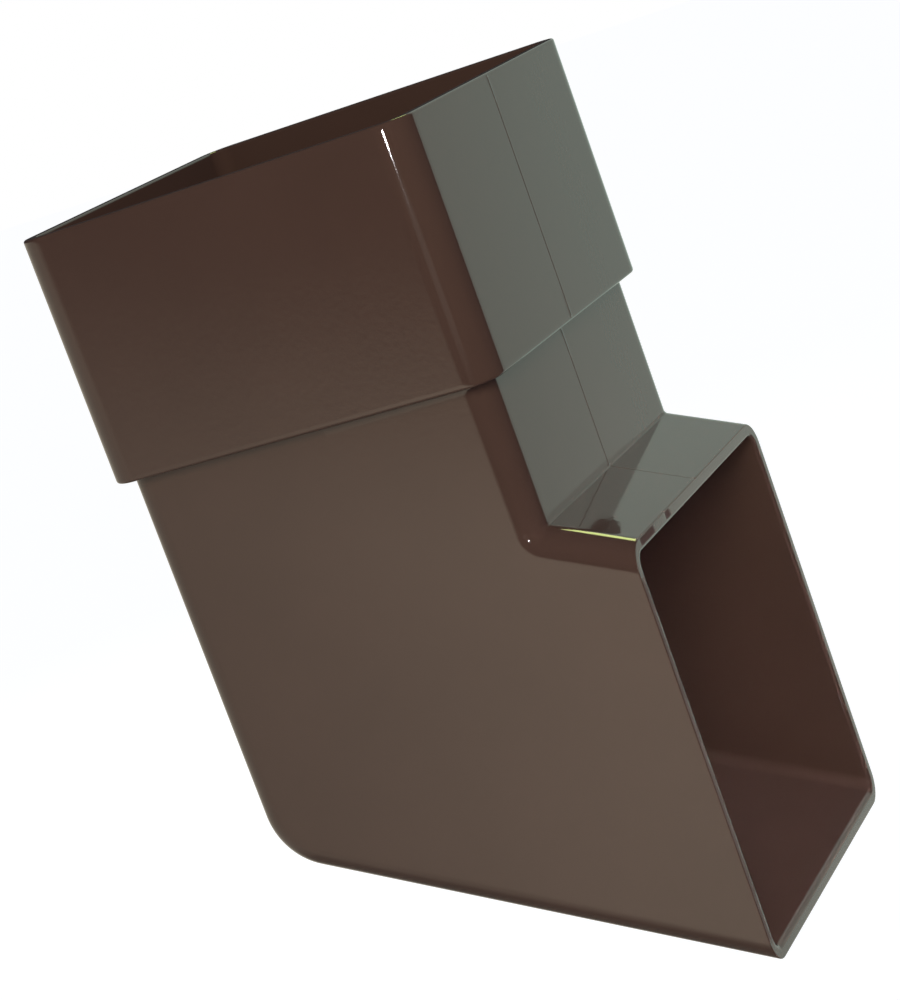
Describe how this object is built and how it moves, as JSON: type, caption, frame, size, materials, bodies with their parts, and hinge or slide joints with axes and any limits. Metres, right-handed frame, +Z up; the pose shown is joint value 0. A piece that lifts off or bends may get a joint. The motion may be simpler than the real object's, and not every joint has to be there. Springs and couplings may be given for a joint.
{
  "type": "downpipe shoe",
  "caption": "Square downpipe shoe: a socket over a short square body that turns forward to a vertical outlet, moulded in one piece.",
  "frame": {"origin": "on the axis of the downpipe, in the plane of the pipe stop inside the socket", "axes": "+Z up the downpipe and out of the socket's mouth, +X out of the outlet, the shoe the same on both sides of Y = 0"},
  "size_m": [0.0811, 0.0704, 0.1415],
  "materials": {
    "brown_pvcu": "glossy brown moulded PVC-u"
  },
  "bodies": {
    "root": {"downpipe_shoe": "brown_pvcu"}
  },
  "joints": []
}
